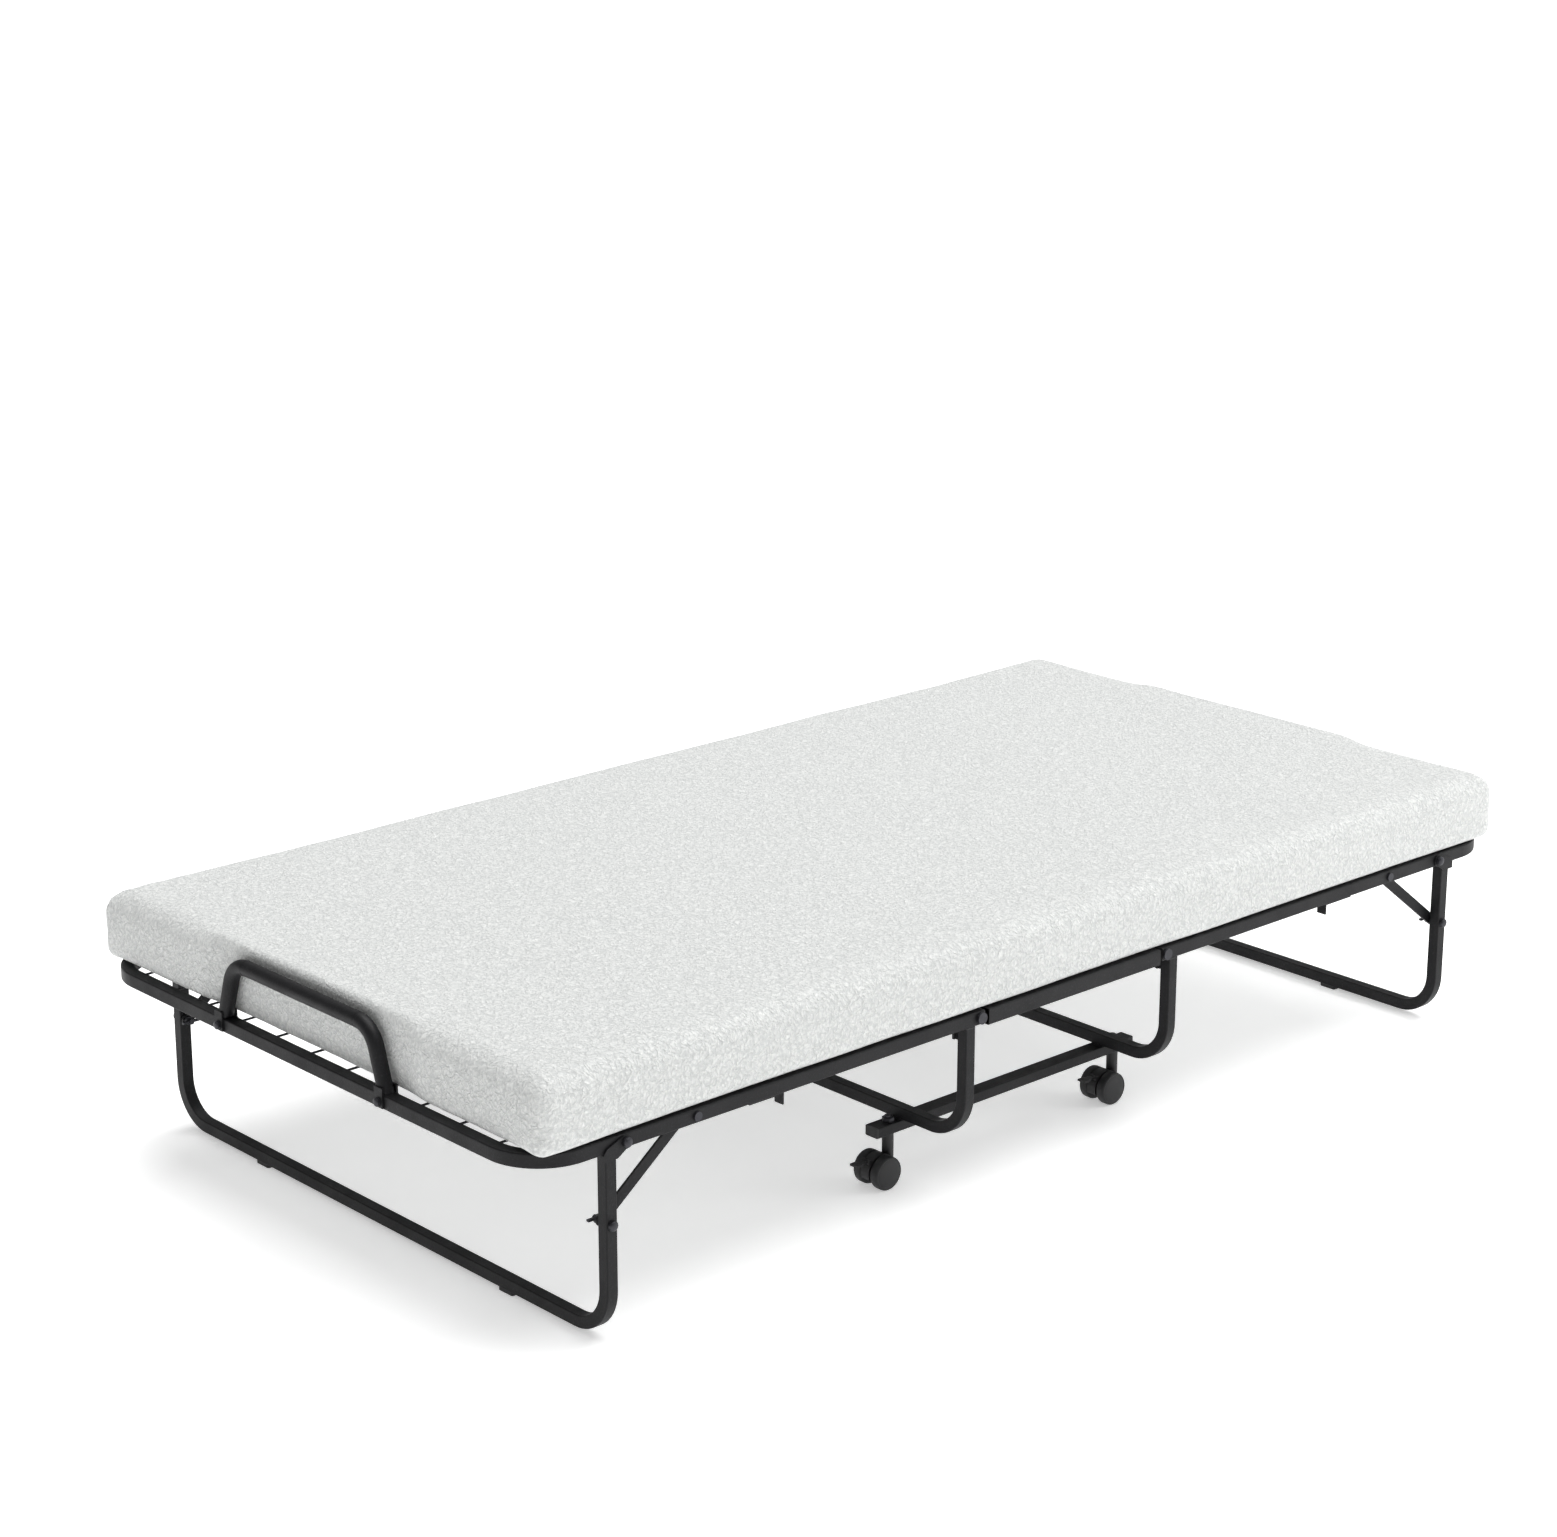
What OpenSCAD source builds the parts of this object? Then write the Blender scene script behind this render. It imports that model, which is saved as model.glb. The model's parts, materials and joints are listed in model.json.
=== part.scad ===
// Rollaway bed: two folding mattress platforms on a wheeled middle frame.
// X runs along the bed, foot end at -X. Y runs across it. Z is up, floor at 0.
// Sizes in millimetres.

/* [Overall] */

// distance between the centre lines of the two side rails
rail_gauge = 982; // [700:1:1400]

// centre line of each end tube, measured from the middle of the bed
end_x = 973; // [800:1:1100]

// height of the platform rail centre line above the floor
rail_z = 277.5; // [240:0.5:340]

/* [Tubes] */

// square tube of the two platforms
rail_s = 20; // [16:1:28]

// square tube of the short middle rails
mid_s = 24; // [20:1:30]

// square tube of the legs and of the two caster hoops
leg_s = 18; // [14:1:24]

// square tube of the cross members
cross_s = 18; // [14:1:22]

// wall thickness of all the tubes
wall = 1.5; // [1:0.1:2.5]

// bend radius at the platform corners, to the centre line
corner_r = 75; // [50:1:76]

// bend radius of the legs and caster hoops, to the centre line
leg_r = 60; // [40:1:90]

/* [Folding] */

// distance of each main hinge from the middle of the bed
hinge_x = 192; // [170:1:240]

// distance from main hinge to leg pivot along a platform
pivot_u = 640; // [560:1:700]

// distance from the leg pivot out to the leg centre line
leg_off = 22; // [21:1:30]

// distance below the rail centre line of the brace bolt on the leg
brace_drop = 110; // [80:1:130]

// distance from main hinge to the brace point on the rail
brace_u = 519; // [480:1:560]

/* [Legs and casters] */

// height of the leg's bottom tube centre line
leg_foot_z = 14; // [12:1:30]

// centre line of each caster hoop from the middle of the bed
hoop_x = 210; // [206:1:260]

// height of the caster bars' underside above the floor
caster_h = 77.7; // [70:0.1:100]

// sideways position of the caster bars
bar_y = 363; // [250:1:420]

// length of a caster bar
bar_l = 530; // [480:1:700]

// swivel centre of a caster from the middle of the bed
caster_x = 235; // [225:1:300]

// caster wheel diameter
wheel_d = 50; // [40:1:60]

// width of one of a caster's two wheels
wheel_w = 15; // [10:0.5:18]

// how far the wheel axle trails its swivel centre
trail = 20; // [15:1:28]

/* [Spring deck] */

// deck wire diameter
wire_d = 3.4; // [2.5:0.1:5]

// spacing of the lengthwise wires
wire_pitch = 82; // [60:1:90]

/* [Handles] */

// handle tube diameter
handle_d = 22; // [16:1:26]

// distance between the feet of a handle's two posts
handle_w = 372; // [250:1:500]

// height of the handle tube centre line above the rail centre line
handle_h = 94.5; // [70:0.5:130]

// how far each handle post leans in from its foot to the bar
handle_lean = 26.9; // [0:0.1:40]

/* [Mattress] */

// mattress length
mattress_l = 1918; // [1700:1:1940]

// mattress width
mattress_w = 1006; // [700:1:1020]

// mattress thickness
mattress_t = 102; // [60:1:140]

/* [Hidden] */
$fn = 48;
half_w = rail_gauge / 2;
bar_h = 16;
bar_w = 25;
hoop_z = caster_h + bar_h + leg_s / 2;
hoop_top = rail_z - rail_s / 2 - 2;
mid_z = rail_z - 2;
mid_end = hinge_x - 14.5;
pivot_x = hinge_x + pivot_u;
leg_x = pivot_x + leg_off;
brace_x = hinge_x + brace_u;
brace_run = leg_x - brace_x;
brace_len = sqrt(brace_run * brace_run + brace_drop * brace_drop);
brace_angle = atan2(brace_drop, brace_run);
brace_w = 16;
brace_t = 4;
brace_y = half_w - rail_s / 2 - 4.7;
bar_a_u = 441;
bar_b_u = 360;
bar_c_u = 49;
mid_cross_x = 165;
wire_z = rail_z + 5.7;
cross_wire_z = wire_z - wire_d + 0.2;
bed_z = rail_z + rail_s / 2 + 0.5;
bed_top = bed_z + mattress_t;
pin_fit = 0.16;
cheek_t = 2.5;
cheek_in = half_w - rail_s / 2 - 0.5;
cheek_out = half_w + rail_s / 2 + 0.5;
plate_out = half_w - mid_s / 2;
plate_t = 4;
black = [0.16, 0.16, 0.17];
grey = [0.3, 0.3, 0.31];
cloth = [0.93, 0.93, 0.92];

// Copies a part to both sides of the bed.
module both_sides() {
  children();
  mirror([0, 1, 0]) children();
}

// Copies a part to both ends of the bed.
module both_ends() {
  children();
  mirror([1, 0, 0]) children();
}

// A square with small round corners.
module round_square(a, b, r) {
  square([a - 2 * r, b], center = true);
  square([a, b - 2 * r], center = true);
  for (i = [-1, 1]) for (j = [-1, 1]) translate([i * (a / 2 - r), j * (b / 2 - r)]) circle(r);
}

// Cross section of a square tube.
module tube_section(a, b, r) {
  difference() {
    round_square(a, b, r);
    round_square(a - 2 * wall, b - 2 * wall, r / 2);
  }
}

// Straight tube along X from x0 to x1, centred on y and z.
module tube_x(x0, x1, y, z, a, r) {
  translate([x0, y, z]) rotate([90, 0, 90]) linear_extrude(x1 - x0) tube_section(a, a, r);
}

// Straight tube along Y from -l/2 to l/2.
module tube_y(l, x, z, a, r) {
  translate([x, l / 2, z]) rotate([90, 0, 0]) linear_extrude(l) tube_section(a, a, r);
}

// A U in the XY plane: its base lies on the Y axis, its two arms run to +X.
module u_shape(span, arm, r) {
  translate([0, span / 2 - r, 0]) rotate([90, 0, 0]) linear_extrude(span - 2 * r) children();
  for (s = [-1, 1]) translate([r, s * span / 2, 0]) rotate([90, 0, 90]) linear_extrude(arm - r) children();
  translate([r, span / 2 - r, 0]) rotate([0, 0, 90]) rotate_extrude(angle = 90) translate([r, 0]) children();
  translate([r, r - span / 2, 0]) rotate([0, 0, 180]) rotate_extrude(angle = 90) translate([r, 0]) children();
}

// Rod along Y from y0 to y1.
module rod_y(y0, y1, d) {
  rotate([-90, 0, 0]) translate([0, 0, y0]) cylinder(h = y1 - y0, d = d);
}

// Hexagon bolt head or nut along Y from y0 to y1.
module hex_y(y0, y1, af) {
  rotate([-90, 0, 0]) translate([0, 0, y0]) linear_extrude(y1 - y0) circle(d = af / cos(30), $fn = 6);
}

// Middle frame: two short rails.
module mid_rails() color(black) both_sides() tube_x(-mid_end, mid_end, half_w, mid_z, mid_s, 2);

// Two cross tubes welded between the hinge plates.
module mid_cross_tubes() color(black) both_ends() tube_y(2 * (plate_out - plate_t), mid_cross_x, rail_z, cross_s, 1.5);

// Lengthwise deck wires from xa to xb, with cross wires at each x in crosses.
module deck(xa, xb, crosses, reach) {
  for (i = [-5:5]) translate([xa, i * wire_pitch, wire_z]) rotate([0, 90, 0]) cylinder(h = xb - xa, d = wire_d);
  for (x = crosses) translate([x, 0, cross_wire_z]) rod_y(-reach, reach, wire_d);
}

// Deck wires of the middle frame.
module mid_deck_wires() {
  color(grey) deck(-mid_cross_x + cross_s / 2, mid_cross_x - cross_s / 2, [0], plate_out);
}

// One hinge plate, with its packing piece against the caster hoop.
module hinge_plate() {
  difference() {
    union() {
      translate([0, plate_out, 0]) rotate([90, 0, 0]) linear_extrude(plate_t)
        polygon([[150, mid_z - 9], [150, mid_z + 9], [212, mid_z + 9], [222, mid_z], [222, 247], [198, 247], [180, mid_z - 9]]);
      translate([hoop_x - leg_s / 2, plate_out, 247]) cube([leg_s, half_w - leg_s / 2 - plate_out, 18]);
    }
    translate([hinge_x, 0, rail_z]) rod_y(plate_out - plate_t - 1, plate_out + 1, 10 + pin_fit);
  }
}

module hinge_plates() color(black) both_ends() both_sides() hinge_plate();

// Shoulder bolts the platforms turn on.
module hinge_bolts() {
  color(grey) both_ends() both_sides() translate([hinge_x, 0, rail_z]) {
    rod_y(plate_out - plate_t - 8, half_w + rail_s / 2 + 1, 10);
    rod_y(half_w + rail_s / 2 + 0.4, half_w + rail_s / 2 + 4.5, 17);
    hex_y(plate_out - plate_t - 7, plate_out - plate_t, 16);
  }
}

// Spacer washers between platform rails and hinge plates.
module hinge_washers() {
  color(grey) both_ends() both_sides() translate([hinge_x, 0, rail_z]) difference() {
    rod_y(plate_out, plate_out + 1.6, 18);
    rod_y(plate_out - 1, plate_out + 3, 10 + pin_fit);
  }
}

// U-shaped hoop that carries the middle frame on the caster bars.
module caster_hoop() {
  translate([hoop_x, 0, hoop_z]) rotate([0, -90, 0])
    u_shape(rail_gauge, hoop_top - hoop_z, leg_r) tube_section(leg_s, leg_s, 1.8);
}

module caster_hoop_head() color(black) caster_hoop();

module caster_hoop_foot() color(black) mirror([1, 0, 0]) caster_hoop();

// Pads on the hoop ends, on which the platform rails rest when the bed is open.
module hoop_rest_pads() {
  color(grey) both_ends() both_sides() translate([hoop_x, half_w, hoop_top]) {
    linear_extrude(1.6) round_square(leg_s, leg_s, 1.8);
    translate([0, 0, -8]) linear_extrude(8) square(leg_s - 2 * wall - 0.6, center = true);
  }
}

// Flat box-section bar that joins the two hoops and carries two casters.
module caster_bar() {
  difference() {
    translate([-bar_l / 2, 0, caster_h + bar_h / 2]) rotate([90, 0, 90]) linear_extrude(bar_l)
      tube_section(bar_w, bar_h, 1.5);
    for (s = [-1, 1]) translate([s * caster_x, 0, caster_h - 1]) cylinder(h = bar_h + 2, d = 10 + pin_fit);
  }
}

module caster_bar_left() color(black) translate([0, bar_y, 0]) caster_bar();

module caster_bar_right() color(black) translate([0, -bar_y, 0]) caster_bar();

// Plastic plugs in the open ends of the caster bars.
module caster_bar_plugs() {
  color(grey) both_ends() both_sides() translate([bar_l / 2, bar_y, caster_h + bar_h / 2]) rotate([90, 0, 90]) {
    linear_extrude(2) round_square(bar_w, bar_h, 1.5);
    translate([0, 0, -10]) linear_extrude(10) square([bar_w - 2 * wall - 0.6, bar_h - 2 * wall - 0.6], center = true);
  }
}

// Swivel stems of the casters, each with a nut on top of the bar.
module caster_stems() {
  color(grey) both_ends() both_sides() translate([caster_x, bar_y, 0]) {
    translate([0, 0, 57]) cylinder(h = caster_h + bar_h + 9 - 57, d = 10);
    translate([0, 0, caster_h + bar_h]) linear_extrude(6) circle(d = 16 / cos(30), $fn = 6);
  }
}

// Platform frame: one long tube bent into a U, bored for hinge, leg and brace bolts.
module platform_frame() {
  difference() {
    translate([end_x, 0, rail_z]) rotate([0, 0, 180])
      u_shape(rail_gauge, end_x - hinge_x + 6, corner_r) tube_section(rail_s, rail_s, 2);
    both_sides() {
      translate([hinge_x, 0, rail_z]) rod_y(half_w - 20, half_w + 20, 10 + pin_fit);
      translate([pivot_x, 0, rail_z]) rod_y(half_w - 20, half_w + 20, 8 + pin_fit);
      translate([brace_x, 0, rail_z]) rod_y(half_w - 20, half_w + 20, 6 + pin_fit);
      translate([end_x - 20, handle_w / 2, rail_z]) rotate([0, 90, 0]) cylinder(h = 40, d = 6 + pin_fit);
    }
  }
}

module head_frame() color(black) platform_frame();

module foot_frame() color(black) mirror([1, 0, 0]) platform_frame();

// Three cross bars welded between the rails of a platform.
module cross_bars() {
  for (u = [bar_a_u, bar_b_u, bar_c_u]) tube_y(rail_gauge - rail_s, hinge_x + u, rail_z, cross_s, 1.5);
}

module head_cross_bars() color(black) cross_bars();

module foot_cross_bars() color(black) mirror([1, 0, 0]) cross_bars();

// Outer panel of deck wires, from the end tube to the first cross bar.
module outer_deck() {
  deck(hinge_x + bar_a_u + cross_s / 2, end_x - rail_s / 2, [hinge_x + 556, hinge_x + 672], half_w - rail_s / 2);
}

module head_outer_deck() color(grey) outer_deck();

module foot_outer_deck() color(grey) mirror([1, 0, 0]) outer_deck();

// Inner panel of deck wires, between the second and third cross bars.
module inner_deck() {
  deck(hinge_x + bar_c_u + cross_s / 2, hinge_x + bar_b_u - cross_s / 2, [hinge_x + 207], half_w - rail_s / 2);
}

module head_inner_deck() color(grey) inner_deck();

module foot_inner_deck() color(grey) mirror([1, 0, 0]) inner_deck();

// Wall of the round handle tube.
module handle_ring() {
  difference() {
    circle(d = handle_d);
    circle(d = handle_d - 2 * wall);
  }
}

// Ring of weld where the bar of a handle meets a bend.
module handle_weld() {
  linear_extrude(2) difference() {
    circle(d = handle_d + 0.4);
    circle(d = handle_d - 2 * wall - 0.4);
  }
}

// Handle and mattress stop: a round tube bent into an upturned U with leaning posts,
// standing on the end tube between two pairs of tabs.
module handle() {
  r = 40;
  rise = handle_h - rail_s / 2;
  lean = atan2(handle_lean, rise);
  reach = r * tan((90 - lean) / 2);
  bar = handle_w / 2 - handle_lean - reach;
  post = sqrt(rise * rise + handle_lean * handle_lean) - reach;
  difference() {
    union() {
      translate([end_x, 0.02 - bar, rail_z + handle_h]) rotate([-90, 0, 0])
        linear_extrude(2 * bar - 0.04) handle_ring();
      both_sides() translate([end_x, bar - 1, rail_z + handle_h]) rotate([-90, 0, 0]) handle_weld();
      both_sides() difference() {
        translate([end_x, bar, rail_z + handle_h - r]) rotate([lean, 0, 0]) rotate([90, 0, 90]) {
          rotate_extrude(angle = 90 - lean) translate([r, 0]) handle_ring();
          translate([r, 0, 0]) rotate([90, 0, 0]) linear_extrude(post + 8) handle_ring();
        }
        translate([end_x - 20, handle_w / 2 - 40, rail_z - 40]) cube([40, 80, 40 + rail_s / 2]);
      }
      both_sides() for (s = [0, 1])
        translate([end_x - rail_s / 2 - 3 + s * (rail_s + 3), handle_w / 2 - 9, rail_z - 8]) cube([3, 18, 28]);
    }
    both_sides() translate([end_x - 20, handle_w / 2, rail_z]) rotate([0, 90, 0]) cylinder(h = 40, d = 6 + pin_fit);
  }
}

module head_handle() color(black) handle();

module foot_handle() color(black) mirror([1, 0, 0]) handle();

// Bolts through the handle tabs and the end tube.
module handle_bolts() {
  both_sides() translate([end_x, handle_w / 2, rail_z]) rotate([0, 90, 0]) {
    translate([0, 0, -rail_s / 2 - 9]) cylinder(h = rail_s + 14, d = 6);
    translate([0, 0, rail_s / 2 + 3]) cylinder(h = 4, d = 12);
    translate([0, 0, -rail_s / 2 - 8]) linear_extrude(5) circle(d = 10 / cos(30), $fn = 6);
  }
}

module head_handle_bolts() color(grey) handle_bolts();

module foot_handle_bolts() color(grey) mirror([1, 0, 0]) handle_bolts();

// Strap clips under the rails that steady the folded leg.
module leg_clips() {
  both_sides() translate([hinge_x, half_w + 8, rail_z]) rotate([90, 0, 0]) linear_extrude(16)
    polygon([[427, -10], [427, -12], [369, -12], [369, -27], [366.5, -27], [366.5, -10]]);
}

module head_leg_clips() color(black) leg_clips();

module foot_leg_clips() color(black) mirror([1, 0, 0]) leg_clips();

// Bolts the leg brackets turn on, through the platform rails.
module pivot_bolts() {
  both_sides() translate([pivot_x, 0, rail_z]) {
    rod_y(cheek_in - cheek_t - 8, cheek_out + cheek_t + 1, 8);
    rod_y(cheek_out + cheek_t + 0.4, cheek_out + cheek_t + 4.5, 14);
    hex_y(cheek_in - cheek_t - 6.9, cheek_in - cheek_t - 0.4, 13);
  }
}

module head_pivot_bolts() color(grey) pivot_bolts();

module foot_pivot_bolts() color(grey) mirror([1, 0, 0]) pivot_bolts();

// Dome-headed studs in the rails where the braces reach them.
module brace_studs() {
  both_sides() translate([brace_x, 0, rail_z]) {
    rod_y(half_w - rail_s / 2, half_w + rail_s / 2 + 1, 6);
    rod_y(half_w + rail_s / 2, half_w + rail_s / 2 + 3, 13);
  }
}

module head_brace_studs() color(grey) brace_studs();

module foot_brace_studs() color(grey) mirror([1, 0, 0]) brace_studs();

// Plastic caps that close the hinge ends of the platform rails.
module rail_caps() {
  both_sides() translate([hinge_x - 6, half_w, rail_z]) rotate([90, 0, -90]) linear_extrude(2)
    round_square(rail_s, rail_s, 2);
}

module head_rail_caps() color(grey) rail_caps();

module foot_rail_caps() color(grey) mirror([1, 0, 0]) rail_caps();

// Leg: a tube bent into a U, open end up.
module leg() {
  difference() {
    translate([leg_x, 0, leg_foot_z]) rotate([0, -90, 0])
      u_shape(rail_gauge, rail_z - 14 - leg_foot_z, leg_r) tube_section(leg_s, leg_s, 1.8);
    both_sides() translate([leg_x, 0, rail_z - brace_drop]) rod_y(half_w - 20, half_w + 20, 8 + pin_fit);
  }
}

module head_leg() color(black) leg();

module foot_leg() color(black) mirror([1, 0, 0]) leg();

// Outline of a leg bracket cheek, pivot at the origin, leg to the right and below.
module cheek_outline() {
  circle(10);
  polygon([[0, 10], [31, -2], [35, -7], [35, -19], [14, -19], [0, -10]]);
}

// Bracket welded on the leg top, straddling the rail.
module leg_brackets() {
  both_sides() difference() {
    union() {
      for (y = [cheek_in - cheek_t, cheek_out])
        translate([pivot_x, y + cheek_t, rail_z]) rotate([90, 0, 0]) linear_extrude(cheek_t) cheek_outline();
      translate([pivot_x + 12, cheek_in - cheek_t, rail_z - 14]) cube([23, cheek_out - cheek_in + 2 * cheek_t, 2.5]);
    }
    translate([pivot_x, 0, rail_z]) rod_y(cheek_in - cheek_t - 2, cheek_out + cheek_t + 2, 8 + pin_fit);
  }
}

module head_leg_brackets() color(black) leg_brackets();

module foot_leg_brackets() color(black) mirror([1, 0, 0]) leg_brackets();

// Floor glides under the leg's bottom tube.
module leg_glides() {
  both_sides() translate([leg_x, 284, 0]) linear_extrude(leg_foot_z - leg_s / 2) round_square(16, 30, 3);
}

module head_leg_glides() color(grey) leg_glides();

module foot_leg_glides() color(grey) mirror([1, 0, 0]) leg_glides();

// Bolts through leg and brace, with a small locking wing on the inner end.
module brace_bolts() {
  both_sides() translate([leg_x, 0, rail_z - brace_drop]) {
    rod_y(brace_y - 12, half_w + leg_s / 2 + 1, 8);
    rod_y(half_w + leg_s / 2, half_w + leg_s / 2 + 4, 14);
    rod_y(brace_y - 6.4, brace_y - 0.4, 13);
    rod_y(brace_y + brace_t + 0.3, half_w - leg_s / 2, 14);
    translate([-14, brace_y - 11, -1.5]) cube([28, 5, 3]);
  }
}

module head_brace_bolts() color(grey) brace_bolts();

module foot_brace_bolts() color(grey) mirror([1, 0, 0]) brace_bolts();

// Flat brace from the leg bolt up to the rail, for the head end, +Y side.
module brace() {
  translate([leg_x, brace_y + brace_t, rail_z - brace_drop]) rotate([90, 0, 0]) linear_extrude(brace_t)
    rotate(180 - brace_angle) difference() {
      union() {
        translate([0, -brace_w / 2]) square([brace_len, brace_w]);
        circle(d = brace_w);
        translate([brace_len, 0]) circle(d = brace_w);
      }
      circle(d = 8 + pin_fit);
      translate([brace_len, 0]) circle(d = 7);
    }
}

module head_brace_left() color(black) brace();

module head_brace_right() color(black) mirror([0, 1, 0]) brace();

module foot_brace_left() color(black) mirror([1, 0, 0]) brace();

module foot_brace_right() color(black) mirror([1, 0, 0]) mirror([0, 1, 0]) brace();

// Caster fork: swivel neck and the hood between the two wheels. Swivel axis on Z.
module fork(pedal) {
  difference() {
    union() {
      translate([0, 0, 30]) cylinder(h = caster_h - 0.5 - 30, d = 17);
      translate([-trail, 0, wheel_d / 2]) difference() {
        rod_y(-8, 8, wheel_d);
        translate([-50, -20, -50]) cube([100, 40, 42]);
      }
      if (pedal) for (s = [-8, 5]) translate([-trail - 21, s, wheel_d / 2 + 18]) {
        rod_y(0, 3, 7);
        translate([0, 0, -7]) cube([10, 3, 9]);
      }
      if (pedal) translate([-trail - 21, 0, wheel_d / 2 + 18]) rod_y(-6, 6, 3);
    }
    translate([0, 0, 56]) cylinder(h = 40, d = 10 + pin_fit);
    translate([-trail, 0, wheel_d / 2]) rod_y(-20, 20, 8 + pin_fit);
    if (pedal) translate([-trail - 21, 0, wheel_d / 2 + 18]) difference() {
      rod_y(-5, 5, 9);
      rod_y(-6, 6, 3);
    }
  }
}

// The two wheels of a caster on their axle.
module twin_wheels() {
  translate([-trail, 0, wheel_d / 2]) {
    rod_y(-10, 10, 8);
    for (s = [-1, 1]) scale([1, s, 1]) difference() {
      rod_y(9.5, 9.5 + wheel_w, wheel_d);
      rod_y(9.5 + wheel_w - 2, 9.5 + wheel_w + 1, wheel_d - 12);
    }
    for (s = [-1, 1]) scale([1, s, 1]) rod_y(9.5 + wheel_w - 3, 9.5 + wheel_w - 0.5, 14);
  }
}

// Brake pedal that tips on the pin at the back of the hood.
module pedal() {
  difference() {
    union() {
      rod_y(-4.6, 4.6, 6.5);
      translate([-22, -4.6, -1]) cube([22, 9.2, 3]);
      translate([-26, -7.5, -1]) cube([13, 15, 3]);
    }
    rod_y(-10, 10, 3 + pin_fit);
  }
}

module caster_at(x, y) translate([x, y, 0]) children();

module pedal_at(x, y) translate([x - trail - 21, y, wheel_d / 2 + 18]) children();

module caster_foot_left_fork() color(grey) caster_at(-caster_x, bar_y) fork(false);

module caster_foot_right_fork() color(grey) caster_at(-caster_x, -bar_y) fork(true);

module caster_head_left_fork() color(grey) caster_at(caster_x, bar_y) fork(false);

module caster_head_right_fork() color(grey) caster_at(caster_x, -bar_y) fork(true);

module caster_foot_left_wheels() color(black) caster_at(-caster_x, bar_y) twin_wheels();

module caster_foot_right_wheels() color(black) caster_at(-caster_x, -bar_y) twin_wheels();

module caster_head_left_wheels() color(black) caster_at(caster_x, bar_y) twin_wheels();

module caster_head_right_wheels() color(black) caster_at(caster_x, -bar_y) twin_wheels();

module caster_foot_right_pedal() color(grey) pedal_at(-caster_x, -bar_y) pedal();

module caster_head_right_pedal() color(grey) pedal_at(caster_x, -bar_y) pedal();

// Mattress parts: mitred where the bed folds, so the folded parts meet edge to edge.
module slab(points) {
  color(cloth) translate([0, mattress_w / 2, 0]) rotate([90, 0, 0]) linear_extrude(mattress_w) polygon(points);
}

miter_low = bed_z - rail_z + 0.5;
miter_high = bed_top - rail_z + 0.5;

module mattress_head() {
  slab([
    [hinge_x + miter_low, bed_z],
    [mattress_l / 2, bed_z],
    [mattress_l / 2, bed_top],
    [hinge_x + miter_high, bed_top]
  ]);
}

module mattress_foot() mirror([1, 0, 0]) mattress_head();

module mattress_middle() {
  slab([
    [-hinge_x + miter_low, bed_z],
    [hinge_x - miter_low, bed_z],
    [hinge_x - miter_high, bed_top],
    [-hinge_x + miter_high, bed_top]
  ]);
}

mid_rails();
mid_cross_tubes();
mid_deck_wires();
hinge_plates();
hinge_bolts();
hinge_washers();
caster_hoop_foot();
caster_hoop_head();
hoop_rest_pads();
caster_bar_left();
caster_bar_right();
caster_bar_plugs();
caster_stems();
foot_frame();
foot_cross_bars();
foot_outer_deck();
foot_inner_deck();
foot_handle();
foot_handle_bolts();
foot_leg_clips();
foot_pivot_bolts();
foot_brace_studs();
foot_rail_caps();
head_frame();
head_cross_bars();
head_outer_deck();
head_inner_deck();
head_handle();
head_handle_bolts();
head_leg_clips();
head_pivot_bolts();
head_brace_studs();
head_rail_caps();
foot_leg();
foot_leg_brackets();
foot_leg_glides();
foot_brace_bolts();
head_leg();
head_leg_brackets();
head_leg_glides();
head_brace_bolts();
foot_brace_left();
foot_brace_right();
head_brace_left();
head_brace_right();
caster_foot_left_fork();
caster_foot_right_fork();
caster_head_left_fork();
caster_head_right_fork();
caster_foot_left_wheels();
caster_foot_right_wheels();
caster_head_left_wheels();
caster_head_right_wheels();
caster_foot_right_pedal();
caster_head_right_pedal();
mattress_foot();
mattress_middle();
mattress_head();
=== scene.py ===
import json
import math

import bmesh
import bpy
import numpy as np
from mathutils import Matrix, Vector, noise


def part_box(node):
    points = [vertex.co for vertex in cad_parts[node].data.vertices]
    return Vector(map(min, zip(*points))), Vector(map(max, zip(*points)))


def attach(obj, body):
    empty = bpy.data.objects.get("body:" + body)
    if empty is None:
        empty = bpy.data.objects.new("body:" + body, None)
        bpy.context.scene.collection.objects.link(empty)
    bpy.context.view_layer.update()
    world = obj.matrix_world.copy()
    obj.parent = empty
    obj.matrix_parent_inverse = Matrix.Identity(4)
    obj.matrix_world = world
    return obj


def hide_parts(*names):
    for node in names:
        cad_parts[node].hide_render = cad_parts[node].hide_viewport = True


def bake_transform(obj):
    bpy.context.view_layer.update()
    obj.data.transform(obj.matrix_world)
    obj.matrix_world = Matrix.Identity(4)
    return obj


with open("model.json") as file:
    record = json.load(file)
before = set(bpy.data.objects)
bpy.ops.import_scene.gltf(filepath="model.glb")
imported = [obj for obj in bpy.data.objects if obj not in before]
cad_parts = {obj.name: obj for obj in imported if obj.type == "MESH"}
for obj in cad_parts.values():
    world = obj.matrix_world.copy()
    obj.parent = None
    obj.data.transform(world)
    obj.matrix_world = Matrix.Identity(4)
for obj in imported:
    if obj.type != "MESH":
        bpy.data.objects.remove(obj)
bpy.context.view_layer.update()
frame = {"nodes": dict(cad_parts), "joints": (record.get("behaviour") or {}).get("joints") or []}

MM = 0.001
NODES = frame["nodes"]
PIVOT = {j["name"]: Vector(j["pos_m"]) for j in frame["joints"]}
ENDS = {"foot": -1, "head": 1}
SIDES = {"left": 1, "right": -1}


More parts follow.
